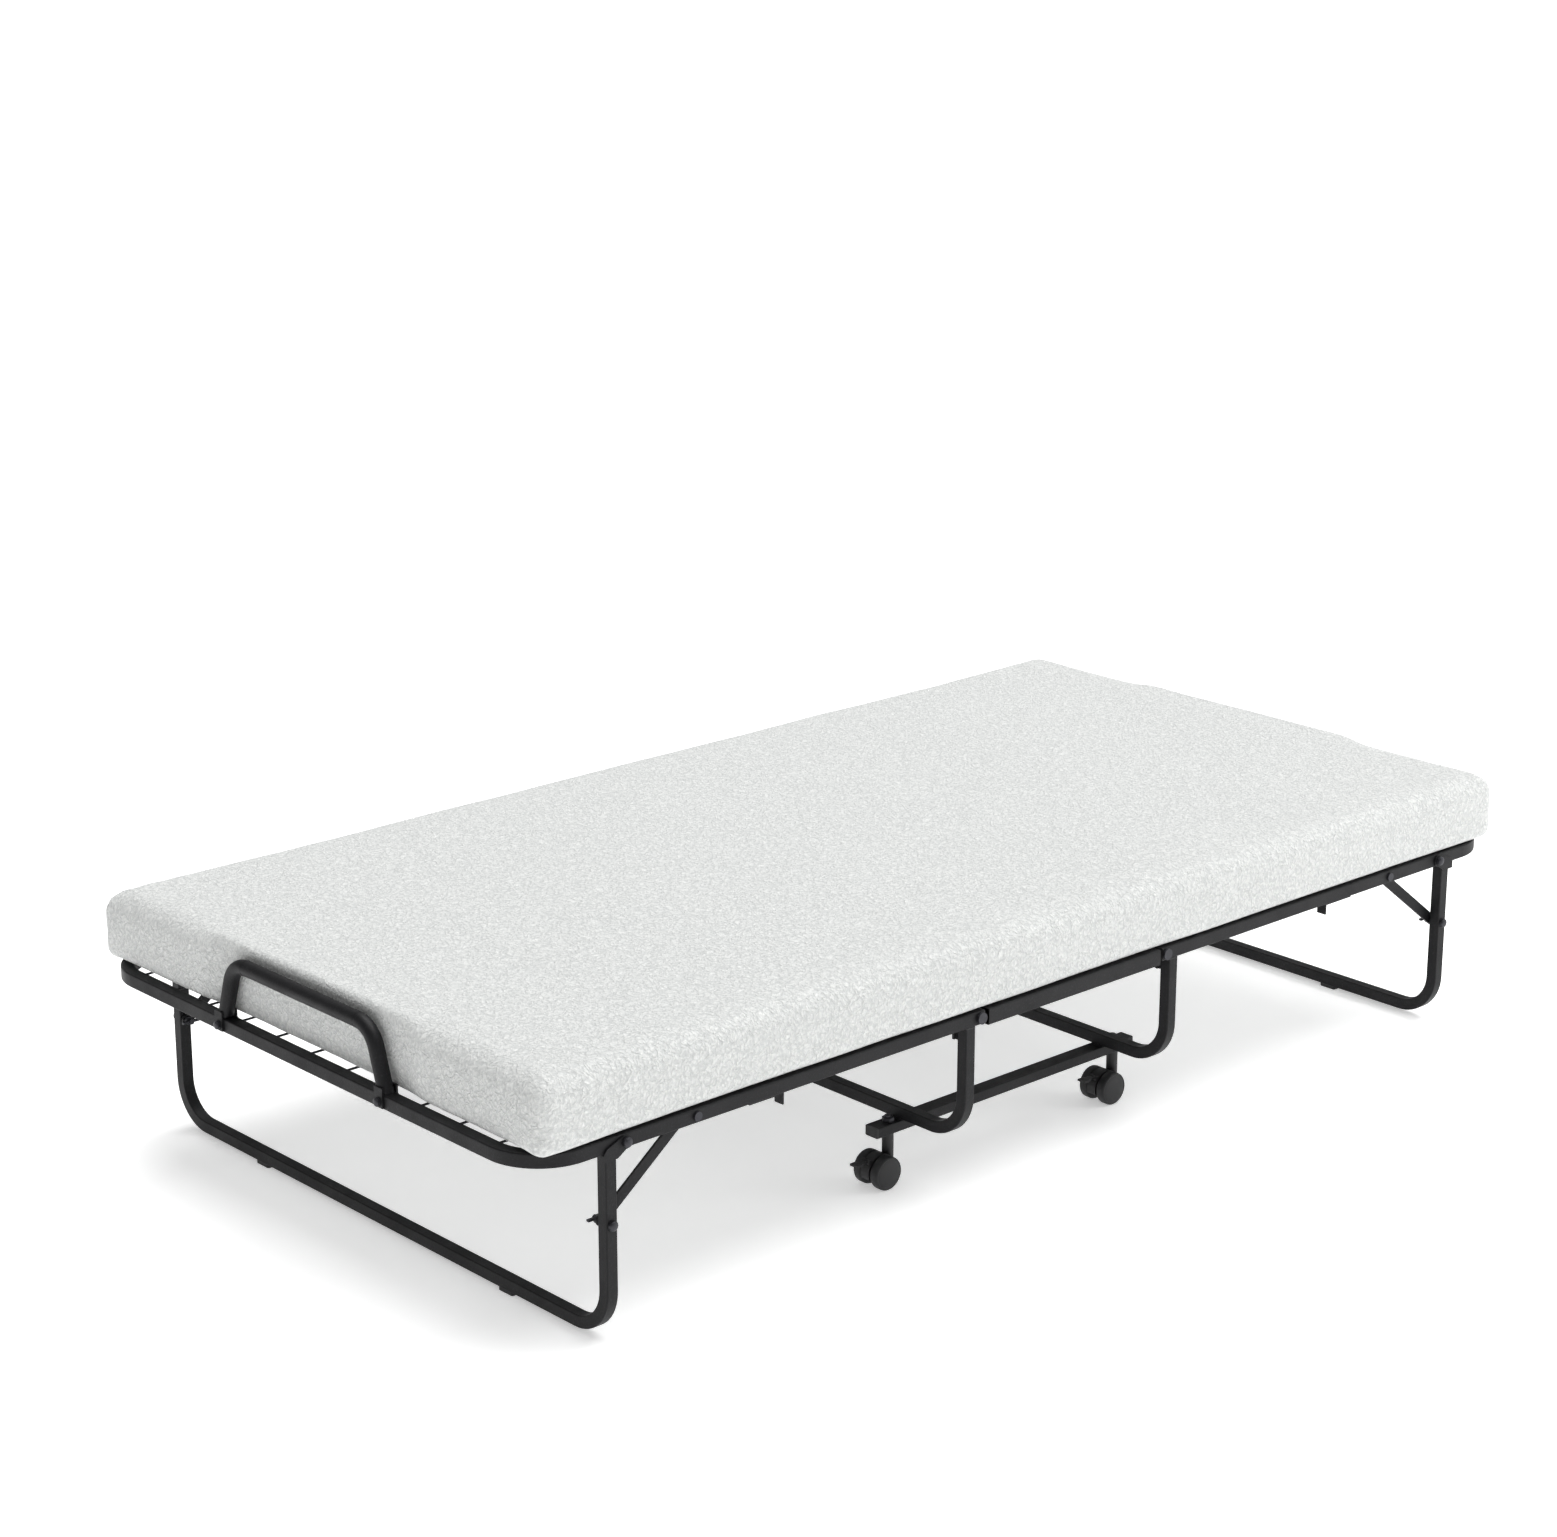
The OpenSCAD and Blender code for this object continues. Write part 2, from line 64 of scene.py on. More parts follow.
# ---------------------------------------------------------------- Camera
# The bed is seen from its foot end and right side, a little above the mattress, through a long
# lens of about 80 mm, so that the long rails stay nearly parallel.
camera = bpy.data.objects.new("camera", bpy.data.cameras.new("camera"))
bpy.context.scene.collection.objects.link(camera)
camera.data.sensor_width = 36.0
camera.data.lens = 79.34
camera.data.clip_end = 200.0
camera.location = (-3.383, -3.595, 1.987)
camera.rotation_euler = Vector((0.6436, 0.7079, -0.2910)).to_track_quat("-Z", "Y").to_euler()
bpy.context.scene.camera = camera
bpy.context.scene.view_settings.view_transform = "Standard"


# ---------------------------------------------------------------- Powder-coated steel tubes
# Rails, legs, hoops, cross tubes, plates and braces: cold-rolled steel tube and plate, bent or cut,
# welded, then powder coated near-black. The baked powder leaves a fine orange-peel skin.
def linear(code):
    """One sRGB hex colour as linear RGBA."""
    parts = [int(code[i:i + 2], 16) / 255 for i in (1, 3, 5)]
    return [c / 12.92 if c <= 0.04045 else ((c + 0.055) / 1.055) ** 2.4 for c in parts] + [1.0]


def add(tree, kind, inputs=None, **settings):
    """Adds one node, with its settings, and its inputs as values or links."""
    made = tree.nodes.new(kind)
    for key, value in settings.items():
        setattr(made, key, value)
    for key, value in (inputs or {}).items():
        if isinstance(value, bpy.types.NodeSocket):
            tree.links.new(value, made.inputs[key])
        else:
            made.inputs[key].default_value = value
    return made


def new_finish(name):
    """An empty material: its tree and its place coordinates, in metres on the part."""
    made = bpy.data.materials.new(name)
    made.use_nodes = True
    made.node_tree.nodes.clear()
    place = add(made.node_tree, "ShaderNodeTexCoord").outputs["Object"]
    return made, made.node_tree, place


def close_finish(tree, surface, height=None, strength=1.0, depth=0.001):
    """Ends a material: bump from height, then the output."""
    if height is not None:
        bump = add(tree, "ShaderNodeBump", {"Height": height, "Strength": strength, "Distance": depth})
        tree.links.new(bump.outputs["Normal"], surface.inputs["Normal"])
    add(tree, "ShaderNodeOutputMaterial", {"Surface": surface.outputs[0]})


def powder_coat(name, dark, light, peel):
    """Matte powder coat: orange peel of peel metres, cloudy colour, and a painted highlight on the crests of
    the peel.
    """
    made, tree, place = new_finish(name)
    cloud = add(tree, "ShaderNodeTexNoise", {"Vector": place, "Scale": 14.0, "Detail": 4.0,
                                             "Roughness": 0.6})
    skin = add(tree, "ShaderNodeTexNoise", {"Vector": place, "Scale": 1 / peel, "Detail": 2.0,
                                            "Roughness": 0.55})
    grit = add(tree, "ShaderNodeTexVoronoi", {"Vector": place, "Scale": 1 / (1.8 * MM)}, feature="F1")
    tone = add(tree, "ShaderNodeMix", {"Factor": cloud.outputs["Fac"], "A": linear(dark), "B": linear(light)},
               data_type="RGBA")
    # Painted highlight: where the orange peel rises highest, the colour is mixed towards a lighter grey.
    painted_peel_highlight = add(tree, "ShaderNodeMapRange", {"Value": skin.outputs["Fac"], "From Min": 0.55, "From Max": 0.8,
                                             "To Min": 0.0, "To Max": 0.35})
    tone = add(tree, "ShaderNodeMix", {"Factor": painted_peel_highlight.outputs[0], "A": tone.outputs["Result"],
                                       "B": linear("#38383b")}, data_type="RGBA")
    rough = add(tree, "ShaderNodeMapRange", {"Value": cloud.outputs["Fac"], "From Min": 0.3, "From Max": 0.7,
                                             "To Min": 0.46, "To Max": 0.62})
    height = add(tree, "ShaderNodeMath", {0: skin.outputs["Fac"], 1: grit.outputs["Distance"]},
                 operation="ADD")
    surface = add(tree, "ShaderNodeBsdfPrincipled", {"Base Color": tone.outputs["Result"],
                                                     "Roughness": rough.outputs[0], "IOR": 1.5,
                                                     "Specular IOR Level": 0.25})
    close_finish(tree, surface, height.outputs[0], 0.35, 0.0004)
    return made


def coat(cad, material):
    """Gives one CAD node its finish."""
    cad.data.materials.clear()
    cad.data.materials.append(material)


# Orange peel on powder coat is 1 to 2 mm across; 3 mm is as coarse as it needs to show.
tube_black = powder_coat("powder_coated_steel", "#0e0e10", "#171719", 3.0 * MM)
for name, cad in NODES.items():
    if any(key in name for key in ("frame", "rails", "tubes", "hoop_foot", "hoop_head", "cross_bars",
                                   "_handle", "bar_left", "bar_right", "clips", "plates", "brackets",
                                   "_brace_left", "_brace_right")) or name in ("foot_leg", "head_leg"):
        if "bolts" not in name:
            coat(cad, tube_black)


# ---------------------------------------------------------------- Deck wires
# Drawn steel wire, 3.4 mm, laid lengthwise over a few cross wires and spot welded, coated in the same
# near-black powder.
wire_black = powder_coat("coated_wire", "#151517", "#202022", 2.0 * MM)
for name in ("mid_deck_wires", "foot_outer_deck", "foot_inner_deck", "head_outer_deck", "head_inner_deck"):
    coat(NODES[name], wire_black)


# ---------------------------------------------------------------- Bolts, nuts and studs
# Blackened zinc-plated steel fasteners, turned and rolled, with a dull sheen and fine turning marks.
def black_zinc():
    made, tree, place = new_finish("black_zinc_fasteners")
    stain = add(tree, "ShaderNodeTexNoise", {"Vector": place, "Scale": 220.0, "Detail": 3.0})
    tone = add(tree, "ShaderNodeMix", {"Factor": stain.outputs["Fac"], "A": linear("#2a2a2d"),
                                       "B": linear("#45454a")}, data_type="RGBA")
    rough = add(tree, "ShaderNodeMapRange", {"Value": stain.outputs["Fac"], "To Min": 0.32, "To Max": 0.55})
    surface = add(tree, "ShaderNodeBsdfPrincipled", {"Base Color": tone.outputs["Result"], "Metallic": 0.7,
                                                     "Roughness": rough.outputs[0]})
    close_finish(tree, surface, stain.outputs["Fac"], 0.2, 0.0003)
    return made


bolt_black = black_zinc()
for name, cad in NODES.items():
    if any(key in name for key in ("bolts", "studs", "washers", "stems")):
        coat(cad, bolt_black)


# ---------------------------------------------------------------- Plugs, caps, pads and glides
# Moulded black polyethylene, pushed into or under the tubes. Soft satin skin with spark-eroded grain.
def moulded_plastic(name, dark, light, gloss_low, gloss_high):
    """Injection-moulded plastic: eroded grain of about 1 mm and faint flow clouds."""
    made, tree, place = new_finish(name)
    flow = add(tree, "ShaderNodeTexNoise", {"Vector": place, "Scale": 60.0, "Detail": 3.0, "Distortion": 0.6})
    grain = add(tree, "ShaderNodeTexNoise", {"Vector": place, "Scale": 1 / (1.2 * MM), "Detail": 2.0})
    tone = add(tree, "ShaderNodeMix", {"Factor": flow.outputs["Fac"], "A": linear(dark), "B": linear(light)},
               data_type="RGBA")
    rough = add(tree, "ShaderNodeMapRange", {"Value": flow.outputs["Fac"], "To Min": gloss_low,
                                             "To Max": gloss_high})
    surface = add(tree, "ShaderNodeBsdfPrincipled", {"Base Color": tone.outputs["Result"],
                                                     "Roughness": rough.outputs[0], "IOR": 1.49})
    close_finish(tree, surface, grain.outputs["Fac"], 0.25, 0.0002)
    return made


plug_black = moulded_plastic("moulded_polyethylene", "#19191a", "#222224", 0.5, 0.65)
for name, cad in NODES.items():
    if any(key in name for key in ("plugs", "caps", "pads", "glides")):
        coat(cad, plug_black)


# ---------------------------------------------------------------- Casters
# Twin-wheel furniture casters: moulded nylon neck, hood and brake pedal, with two plain dished wheels
# on a steel axle. The wheels are turned here with a rounded tread and a slightly domed face.
def lathe(profile, centre, turn, count=64):
    """Verts and faces of a closed turned shape: profile is (radius, place along Y) pairs, axis to axis."""
    verts, faces, rings = [], [], []
    for radius, along in profile:
        ring = []
        for i in range(1 if radius == 0 else count):
            a = 2 * math.pi * i / count
            ring.append(len(verts))
            verts.append(Vector(centre) + turn @ Vector((radius * math.cos(a), along, radius * math.sin(a))))
        rings.append(ring)
    for one, two in zip(rings, rings[1:]):
        for i in range(count):
            j = (i + 1) % count
            if len(one) == 1:
                faces.append((one[0], two[j], two[i]))
            elif len(two) == 1:
                faces.append((one[i], one[j], two[0]))
            else:
                faces.append((one[i], one[j], two[j], two[i]))
    return verts, faces


def build(name, parts, material, smooth_angle=35):
    """One object from several (verts, faces), normals outward, shaded smooth below an angle."""
    mesh = bpy.data.meshes.new(name)
    form = bmesh.new()
    for verts, faces in parts:
        made = [form.verts.new(v) for v in verts]
        for face in faces:
            form.faces.new([made[i] for i in face])
    bmesh.ops.remove_doubles(form, verts=form.verts, dist=1e-6)
    bmesh.ops.recalc_face_normals(form, faces=form.faces)
    for face in form.faces:
        face.smooth = True
    for edge in form.edges:
        edge.smooth = len(edge.link_faces) == 2 and edge.calc_face_angle(0) < math.radians(smooth_angle)
    form.to_mesh(mesh)
    form.free()
    mesh.materials.append(material)
    made = bpy.data.objects.new(name, mesh)
    bpy.context.scene.collection.objects.link(made)
    return made


hood_nylon = moulded_plastic("moulded_nylon_hood", "#141415", "#1c1c1e", 0.45, 0.6)
wheel_nylon = moulded_plastic("moulded_nylon_wheel", "#161618", "#1f1f21", 0.48, 0.62)
for name, cad in NODES.items():
    if name.startswith("caster_") and name.endswith(("_fork", "_pedal")):
        coat(cad, hood_nylon)

# Turned outlines in mm: radius, and place along the axle from the caster's middle.
WHEEL = [(0, 9.4), (7.5, 9.4), (8, 9.6), (8.4, 9.9), (19, 9.9), (21, 9.5), (23.2, 9.8), (24.4, 10.8),
         (25, 12.4), (25, 21.0), (24.7, 22.6), (23.9, 23.8), (22.6, 24.5), (22.0, 24.5), (21.6, 24.2),
         (21.2, 24.4), (17, 25.2), (11, 25.9), (5, 26.2), (0, 26.3)]
AXLE = [(0, -9.8), (4, -9.8), (4, 9.8), (0, 9.8)]
for end in ENDS:
    for side in SIDES:
        label = f"caster_{end}_{side}"
        hub = PIVOT[f"{label}_roll"]
        parts = [lathe([(r * MM, y * MM) for r, y in AXLE], hub, Matrix.Identity(3), 32)]
        for hand in (1, -1):
            turn = Matrix.Diagonal((1, hand, 1))
            parts.append(lathe([(r * MM, y * MM) for r, y in WHEEL], hub, turn))
        wheels = build(f"{label}_twin_wheels", parts, wheel_nylon)
        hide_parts(f"{label}_wheels")
        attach(wheels, f"{label}_rollers")


# ---------------------------------------------------------------- Bolt domes
# Low domed crowns of the bolt heads on the outer side: pivot bolts, brace bolts and handle bolts. They
# are the same blackened steel and sit on the plain heads.
PIVOT_CROWN = (0.0062, 0.0022)      # radius and height, m
HANDLE_CROWN = (0.0056, 0.0020)
BRACE_CROWN = (0.0066, 0.0024)


def crown(centre, axis, radius, height):
    """A low closed dome whose flat base is at centre, pointing along axis."""
    turn = Vector((0, 1, 0)).rotation_difference(Vector(axis)).to_matrix()
    sunk, steps = 0.0003, 6
    profile = [(0, -sunk), (radius, -sunk)]
    for i in range(steps + 1):
        a = math.radians(90) * i / steps
        profile.append((radius * math.cos(a), height * math.sin(a)))
    profile[-1] = (0, height)
    return lathe(profile, centre, turn, 32)


for end, ex in ENDS.items():
    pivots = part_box(f"{end}_pivot_bolts")
    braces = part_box(f"{end}_brace_bolts")
    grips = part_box(f"{end}_handle_bolts")
    leg, brace = PIVOT[f"{end}_leg_fold"], PIVOT[f"{end}_brace_left_fold"]
    parts = []
    for hand, face in ((1, pivots[1].y), (-1, pivots[0].y)):
        parts.append(crown((leg.x, face, leg.z), (0, hand, 0), *PIVOT_CROWN))
    grip_face = grips[1].x if ex > 0 else grips[0].x
    for hand in (1, -1):
        grip = (grip_face, hand * (grips[1].y - 0.006), (grips[0].z + grips[1].z) / 2)
        parts.append(crown(grip, (ex, 0, 0), *HANDLE_CROWN))
    heads = build(f"{end}_platform_bolt_crowns", parts, bolt_black, 40)
    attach(heads, f"{end}_platform")
    parts = [crown((brace.x, face, brace.z), (0, hand, 0), *BRACE_CROWN)
             for hand, face in ((1, braces[1].y), (-1, braces[0].y))]
    heads = build(f"{end}_leg_bolt_crowns", parts, bolt_black, 40)
    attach(heads, f"{end}_leg_frame")


# ---------------------------------------------------------------- Weld beads
# Short hand-laid weld beads where the caster bars cross the hoops and where the hoops meet the middle
# rails. Overlapping drops, under the same powder coat as the tubes.
DROP = 0.0032                       # one drop of a bead, m
BEAD_BIG, BEAD_SMALL = 0.0019, 0.0017


def bead(start, stop, radius, seed):
    """A lumpy closed bead of overlapping drops from start to stop, ten points round."""
    start, stop = Vector(start), Vector(stop)
    axis = (stop - start).normalized()
    side = axis.orthogonal().normalized()
    other = axis.cross(side)
    count = max(8, int((stop - start).length / 0.0006))
    verts, faces = [start - axis * radius * 0.5], []
    for i in range(count):
        t = i / (count - 1)
        drop = abs(math.sin(t * (stop - start).length / DROP * math.pi))
        taper = min(1.0, 0.45 + 6 * min(t, 1 - t))
        wide = radius * taper * (0.82 + 0.18 * drop + 0.08 * noise.noise(Vector((seed, i * 0.3, 0))))
        for k in range(10):
            a = 2 * math.pi * k / 10
            verts.append(start.lerp(stop, t) + (side * math.cos(a) + other * math.sin(a)) * wide)
    verts.append(stop + axis * radius * 0.5)
    for k in range(10):
        n = (k + 1) % 10
        faces.append((0, 1 + n, 1 + k))
        for i in range(count - 1):
            a, b = 1 + i * 10, 11 + i * 10
            faces.append((a + k, a + n, b + n, b + k))
        faces.append((1 + (count - 1) * 10 + k, 1 + (count - 1) * 10 + n, len(verts) - 1))
    return verts, faces


parts = []
for end in ENDS:
    hoop_low, hoop_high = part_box(f"caster_hoop_{end}")
    hoop_x = (hoop_low.x + hoop_high.x) / 2
    tube = (hoop_high.x - hoop_low.x) / 2
    for side, sy in SIDES.items():
        bar_low, bar_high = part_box(f"caster_bar_{side}")
        for y in (bar_low.y, bar_high.y):
            parts.append(bead((hoop_x - tube + 0.002, y, hoop_low.z), (hoop_x + tube - 0.002, y, hoop_low.z),
                              BEAD_BIG, y * 9))
        for x in (hoop_x - tube, hoop_x + tube):
            parts.append(bead((x, bar_low.y + 0.003, hoop_low.z), (x, bar_high.y - 0.003, hoop_low.z),
                              BEAD_BIG, x * 7))
        rail_y = sy * (hoop_high.y - tube)
        for x in (hoop_x - tube, hoop_x + tube):
            parts.append(bead((x, rail_y - 0.007, hoop_high.z), (x, rail_y + 0.007, hoop_high.z),
                              BEAD_SMALL, x * 5))
beads = build("middle_frame_weld_beads", parts, tube_black, 50)
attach(beads, "middle_frame")


# ---------------------------------------------------------------- Mattress
# One foam slab in a pale pebbled knit cover, pulled tight, with soft rounded edges. It lies on the deck
# wires. Two halves meet at mid-bed, each crossing one hinge.
def pebbled_knit():
    made, tree, place = new_finish("pebbled_knit_cover")
    bent = add(tree, "ShaderNodeTexNoise", {"Vector": place, "Scale": 70.0, "Detail": 2.0})
    warp = add(tree, "ShaderNodeVectorMath", {0: bent.outputs["Color"], 1: (0.014, 0.014, 0.014)},
               operation="MULTIPLY")
    moved = add(tree, "ShaderNodeVectorMath", {0: place, 1: warp.outputs[0]}, operation="ADD")
    # Pebbles of the knit are about 4 mm across, with narrow crinkled furrows and 2 mm loops between them.
    pebble = add(tree, "ShaderNodeTexVoronoi", {"Vector": moved.outputs[0], "Scale": 1 / (4.2 * MM)},
                 feature="SMOOTH_F1")
    furrow = add(tree, "ShaderNodeTexNoise", {"Vector": moved.outputs[0], "Scale": 1 / (3.6 * MM),
                                              "Detail": 3.0, "Roughness": 0.65, "Distortion": 1.6})
    loops = add(tree, "ShaderNodeTexVoronoi", {"Vector": place, "Scale": 1 / (2.0 * MM)}, feature="F1")
    swell = add(tree, "ShaderNodeMapRange", {"Value": pebble.outputs["Distance"], "From Min": 0.0,
                                             "From Max": 0.7, "To Min": 1.0, "To Max": 0.0})
    mixed = add(tree, "ShaderNodeMath", {0: swell.outputs[0], 1: furrow.outputs["Fac"]}, operation="ADD")
    fine = add(tree, "ShaderNodeMath", {0: loops.outputs["Distance"], 1: -0.25, 2: mixed.outputs[0]},
               operation="MULTIPLY_ADD")
    # Painted shade: the colour follows the same height as the bump, darker in the furrows and loops and
    # lighter on the pebbles.
    painted_knit_shade = add(tree, "ShaderNodeMapRange", {"Value": fine.outputs[0], "From Min": 0.5, "From Max": 1.3})
    tone = add(tree, "ShaderNodeMix", {"Factor": painted_knit_shade.outputs[0], "A": linear("#d2d4d3"),
                                       "B": linear("#f1f2f0")}, data_type="RGBA")
    surface = add(tree, "ShaderNodeBsdfPrincipled", {"Base Color": tone.outputs["Result"],
                                                     "Roughness": 0.95, "IOR": 1.45,
                                                     "Sheen Weight": 0.15, "Sheen Roughness": 0.5})
    close_finish(tree, surface, fine.outputs[0], 0.9, 0.0020)
    return made


knit = pebbled_knit()
bed_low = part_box("mattress_foot")[0]
bed_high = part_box("mattress_head")[1]
length, width, thick = bed_high - bed_low


def rounded_slab(size, corner, top_edge, low_edge):
    """A closed slab with rounded upright corners, and rounded top and bottom edges."""
    form = bmesh.new()
    bmesh.ops.create_cube(form, size=1.0)
    bmesh.ops.scale(form, vec=size, verts=form.verts)
    upright = [e for e in form.edges if abs(e.verts[0].co.z - e.verts[1].co.z) > size[2] / 2]
    bmesh.ops.bevel(form, geom=upright, offset=corner, segments=5, profile=0.5, affect="EDGES")
    for hand, radius in ((1, top_edge), (-1, low_edge)):
        rim = [e for e in form.edges if min(v.co.z * hand for v in e.verts) > size[2] / 2 - 1e-6]
        bmesh.ops.bevel(form, geom=rim, offset=radius, segments=4, profile=0.5, affect="EDGES")
    return form


def evaluated(piece):
    """The piece's mesh with its modifiers applied."""
    graph = bpy.context.evaluated_depsgraph_get()
    return bpy.data.meshes.new_from_object(piece.evaluated_get(graph), depsgraph=graph)


# The ends swell out 14 mm past the plain slab beside the handle, over the end tubes.
inset, overhang = 0.011, 0.014
form = rounded_slab((length + 2 * overhang - 2 * inset, width - 2 * inset, thick - 0.004),
                    corner=0.016, top_edge=0.024, low_edge=0.010)
start_mesh = bpy.data.meshes.new("mattress_start")
form.to_mesh(start_mesh)
form.free()
slab = bpy.data.objects.new("mattress_start", start_mesh)
bpy.context.scene.collection.objects.link(slab)
voxels = slab.modifiers.new("voxels", "REMESH")
voxels.mode = "VOXEL"
voxels.voxel_size = 0.012
slab_mesh = evaluated(slab)
bpy.data.objects.remove(slab)
slab = bpy.data.objects.new("mattress_slab", slab_mesh)
bpy.context.scene.collection.objects.link(slab)
rest = np.array([v.co for v in slab_mesh.vertices])

# The cover swells under the foam's push: cloth under pressure, no gravity, twenty steps.
cloth = slab.modifiers.new("cover", "CLOTH")
cloth.settings.quality = 4
cloth.settings.mass = 0.3
cloth.settings.tension_stiffness = 15
cloth.settings.compression_stiffness = 15
cloth.settings.shear_stiffness = 8
cloth.settings.bending_stiffness = 3
cloth.settings.use_pressure = True
cloth.settings.uniform_pressure_force = 4
cloth.settings.effector_weights.gravity = 0
cloth.point_cache.frame_start = 1
cloth.point_cache.frame_end = 20
for step in range(1, 21):
    bpy.context.scene.frame_set(step)
swollen = evaluated(slab)
pushed = np.array([v.co for v in swollen.vertices])
slab.modifiers.clear()
bpy.context.scene.frame_set(1)

move = pushed - rest
move -= move.mean(axis=0)
reach = np.linalg.norm(move, axis=1, keepdims=True) + 1e-9
cap, sink, crown_up = 0.012, 0.003, 0.004
move = move / reach * cap * np.tanh(reach / cap)
move[:, 2] = np.clip(move[:, 2], -sink, crown_up)
place = rest + move


def ramp(value, low, high):
    """Smooth 0 to 1 as value goes from low to high."""
    t = np.clip((value - low) / (high - low), 0, 1)
    return t * t * (3 - 2 * t)


# Slow hand-sized unevenness of the foam, up to 2 mm, and short creases in the cover towards the corners.
crease_near, crease_far = 0.02, 0.24
near_corner = np.ones(len(rest))
for axis, half in ((0, length / 2), (1, width / 2)):
    near_corner *= 1 - ramp(half - np.abs(rest[:, axis]), crease_near, crease_far)
near_corner *= ramp(rest[:, 2], -0.03, 0.035)
for i, point in enumerate(rest):
    point = Vector(point)
    wave = 0.0016 * (noise.noise(point * 4.0) + 0.5 * noise.noise(point * 11.0))
    if near_corner[i] > 0:
        fold = abs(noise.noise(Vector((point.x * 9 + point.y * 5, point.y * 26 - point.x * 11,
                                       point.z * 16))))
        wave -= 0.0030 * near_corner[i] * max(0.0, 1 - fold / 0.12)
    place[i] += np.array(slab_mesh.vertices[i].normal) * wave
# The cover is drawn tight over foam of the full size, so the swollen form is brought to that size.
place[:, 0] *= (length / 2 + overhang) / np.abs(place[:, 0]).max()
place[:, 1] *= (width / 2 + 0.001) / np.abs(place[:, 1]).max()
low, top, corner = -thick / 2, thick / 2, 0.030


def square_off(span, level, where):
    """Tightens one long rounded edge: span is how far out, level how far down or up, past its centre line."""
    out, off = np.maximum(span, 0), np.maximum(level, 0)
    total = np.sqrt(out ** 2 + off ** 2) + 1e-9
    gain = ((out / total) ** 4 + (off / total) ** 4 + 1e-12) ** -0.25 - 1
    gain = np.where((out > 0) & (off > 0), gain, 0) * where
    return out * gain, off * gain


# The lower edges, along the sides and under the ends, are tighter than the swelling leaves them.
out, down = square_off(np.abs(place[:, 1]) - (width / 2 - corner), low + corner - place[:, 2], 1.0)
place[:, 1] += np.sign(place[:, 1]) * out
place[:, 2] -= down
out, down = square_off(np.abs(place[:, 0]) - (length / 2 + overhang - corner),
                       low + corner - place[:, 2], 1.0)
place[:, 0] += np.sign(place[:, 0]) * out
place[:, 2] -= down
# The handles' tabs hold the ends in behind them, where the foam is pushed up a little instead, and the
# cover is drawn under at the two ends.
along, across = np.abs(place[:, 0]), np.abs(place[:, 1])
held = 1 - ramp(across, 0.205, 0.27)
end_limit = length / 2 + (overhang + 0.001) * (1 - held)
give = 0.004
over = np.maximum(along - (end_limit - give), 0)
along = np.minimum(along, end_limit - give + give * np.tanh(over / give))
out, up = square_off(along - (end_limit - corner), place[:, 2] - (top - corner), held)
along = np.minimum(along + out, end_limit)
rise = (1 - ramp(across, 0.13, 0.36)) * ramp(along, length / 2 - 0.20, length / 2 - 0.02)
pushed_up, tuck = 0.0025, 0.004
place[:, 2] += up + pushed_up * rise * ramp(place[:, 2], 0, top)
place[:, 0] = np.sign(place[:, 0]) * along
drawn = 1 - ramp(place[:, 2], low, low + 0.045)
at_end = ramp(along, length / 2 - 0.030, length / 2 + 0.008)
place[:, 0] -= np.sign(place[:, 0]) * tuck * drawn * at_end
place[:, 2] += tuck * drawn * at_end
# Under each fold the foam is cut away a little so that the bars and wires clear it when the bed is folded.
relief_depth = 0.019
for end in ENDS:
    off = np.abs(place[:, 0] - PIVOT[f"{end}_platform_fold"].x)
    relief = relief_depth * (1 - ramp(off, 0.05, 0.15)) * (1 - ramp(across, 0.445, 0.478))
    place[:, 2] += relief * (1 - ramp(place[:, 2], low, low + 0.06))
place[:, 2] = np.maximum(place[:, 2], low + 0.0002)
for i, v in enumerate(slab_mesh.vertices):
    v.co = place[i]
smooth = slab.modifiers.new("finer", "SUBSURF")
smooth.levels = smooth.render_levels = 1
final = evaluated(slab)
bpy.data.objects.remove(slab)

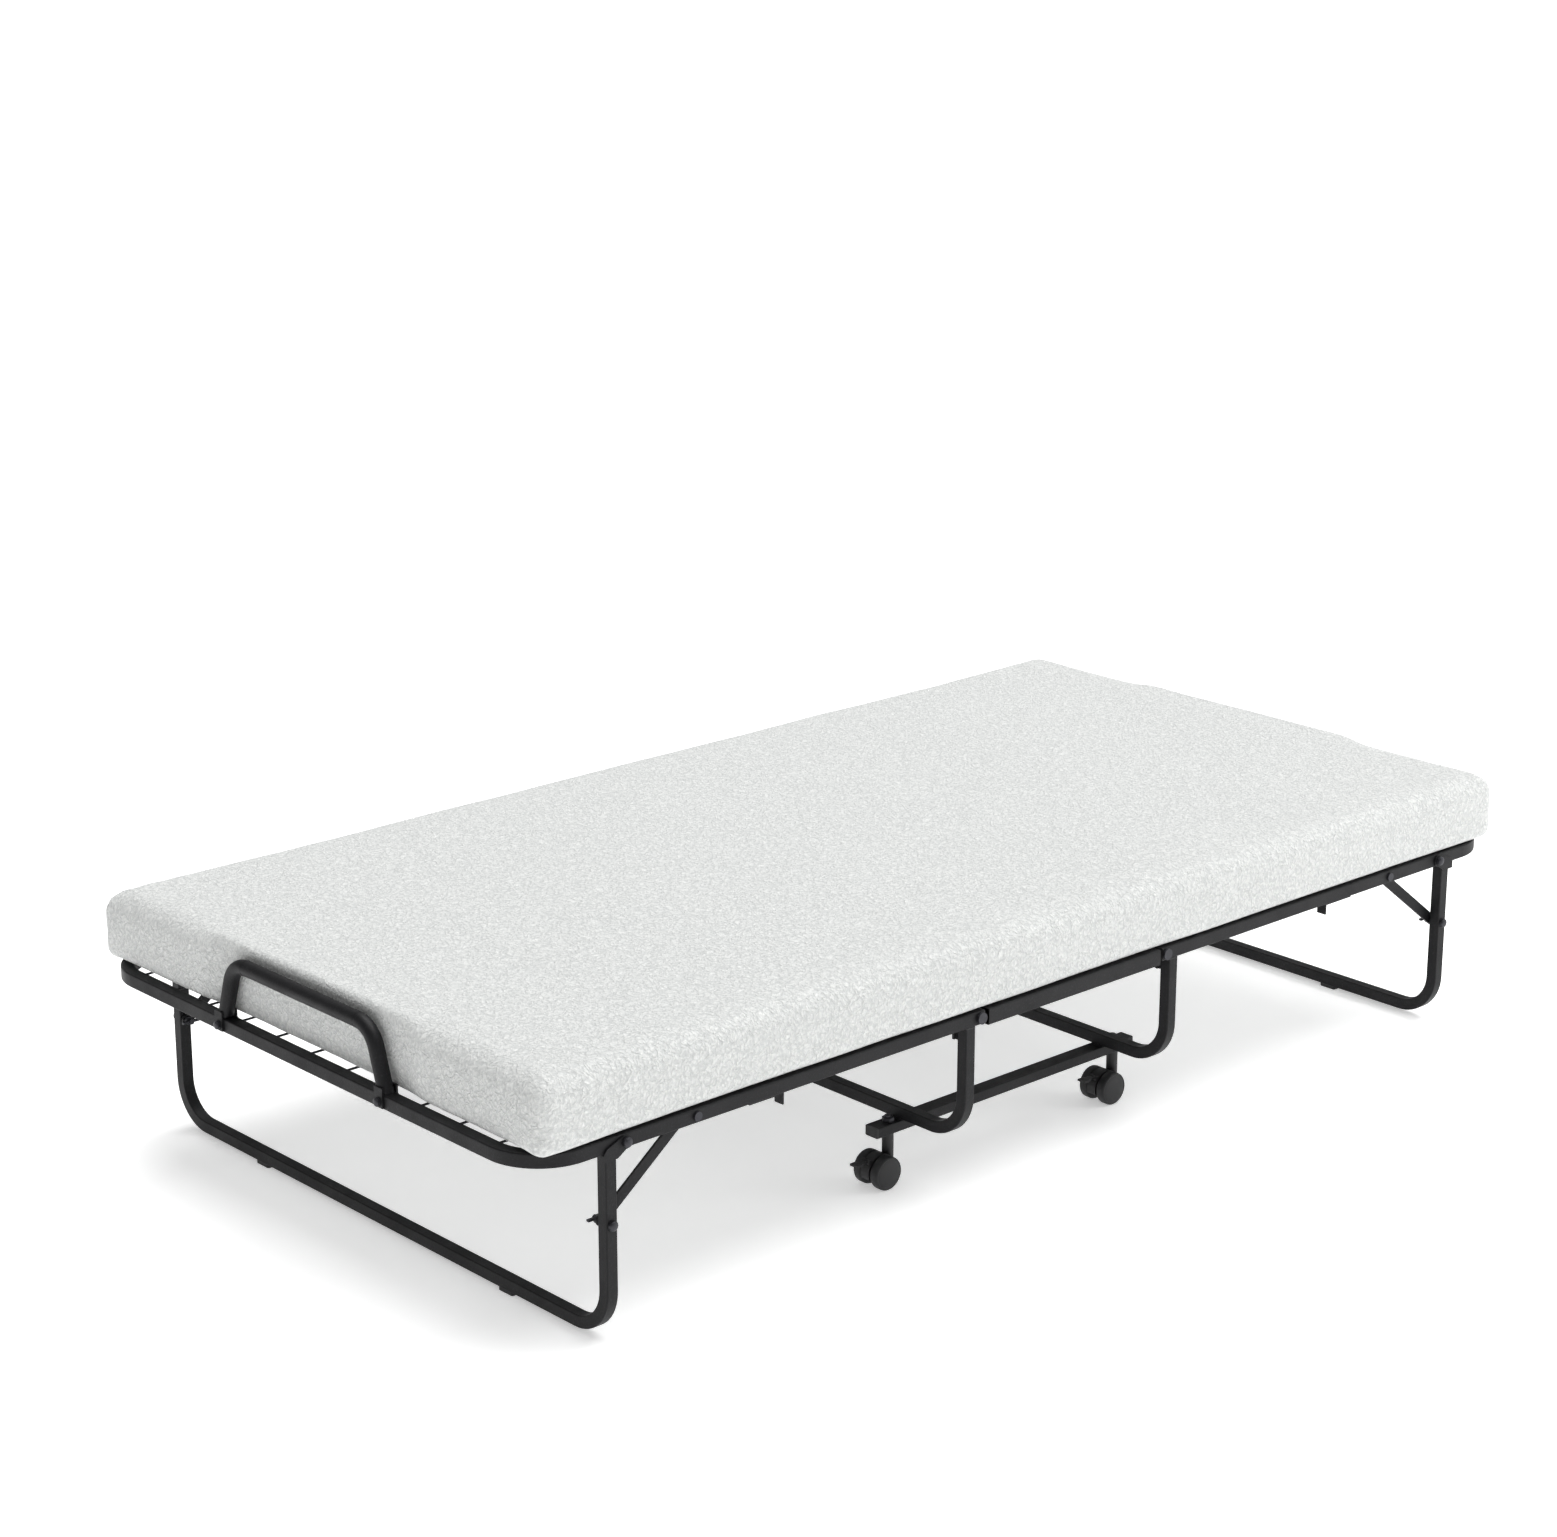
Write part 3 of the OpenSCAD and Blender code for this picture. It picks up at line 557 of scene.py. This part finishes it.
middle = (bed_low + bed_high) / 2
for end, ex in ENDS.items():
    form = bmesh.new()
    form.from_mesh(final)
    bmesh.ops.translate(form, vec=middle, verts=form.verts)
    cut = bmesh.ops.bisect_plane(form, geom=form.verts[:] + form.edges[:] + form.faces[:], dist=1e-6,
                                 plane_co=(0, 0, 0), plane_no=(ex, 0, 0), clear_inner=True)
    rim = [g for g in cut["geom_cut"] if isinstance(g, bmesh.types.BMEdge)]
    for face in form.faces:
        face.smooth = True
    bmesh.ops.contextual_create(form, geom=rim)
    for edge in rim:
        edge.smooth = False
    mesh = bpy.data.meshes.new(f"mattress_{end}_half")
    form.to_mesh(mesh)
    form.free()
    mesh.materials.clear()
    mesh.materials.append(knit)
    half = bpy.data.objects.new(f"mattress_{end}_half", mesh)
    bpy.context.scene.collection.objects.link(half)
    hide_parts(f"mattress_{end}", "mattress_middle")
    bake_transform(half)


# ---------------------------------------------------------------- Floor and light
# A plain pale studio floor, one very wide soft light from above and the head end, a soft box low on the
# head side, and an even pale surround.
def pale_floor():
    made, tree, place = new_finish("pale_studio_floor")
    cloud = add(tree, "ShaderNodeTexNoise", {"Vector": place, "Scale": 3.0, "Detail": 3.0})
    tone = add(tree, "ShaderNodeMix", {"Factor": cloud.outputs["Fac"], "A": linear("#f9f9f9"),
                                       "B": linear("#fbfbfb")}, data_type="RGBA")
    surface = add(tree, "ShaderNodeBsdfPrincipled", {"Base Color": tone.outputs["Result"], "Roughness": 0.9,
                                                     "Specular IOR Level": 0.1,
                                                     "Emission Color": tone.outputs["Result"],
                                                     "Emission Strength": 0.44})
    close_finish(tree, surface)
    return made


floor_radius = 60
ring = [(floor_radius * math.cos(i * math.pi / 32), floor_radius * math.sin(i * math.pi / 32), 0)
        for i in range(64)]
floor = build("floor", [(ring, [tuple(range(64))])], pale_floor())


def soft_box(name, place, aim, size, power):
    """A square area light at place, turned to aim."""
    made = bpy.data.objects.new(name, bpy.data.lights.new(name, "AREA"))
    made.data.shape = "SQUARE"
    made.data.size = size
    made.data.energy = power
    made.location = place
    made.rotation_euler = (Vector(aim) - Vector(place)).to_track_quat("-Z", "Y").to_euler()
    bpy.context.scene.collection.objects.link(made)


sky = bpy.data.objects.new("overhead_sail", bpy.data.lights.new("overhead_sail", "SUN"))
sky.data.energy = 3.15
sky.data.angle = math.radians(60)
sky.rotation_euler = Vector((-0.30, 0.02, -0.95)).to_track_quat("-Z", "Y").to_euler()
bpy.context.scene.collection.objects.link(sky)
soft_box("side_box", (3.3, -3.2, 1.7), (0.8, -0.4, 0.3), size=2.4, power=44.0)
world = bpy.data.worlds.new("surround")
world.use_nodes = True
world.node_tree.nodes["Background"].inputs["Color"].default_value = (1.0, 1.0, 1.0, 1.0)
world.node_tree.nodes["Background"].inputs["Strength"].default_value = 0.28
bpy.context.scene.world = world
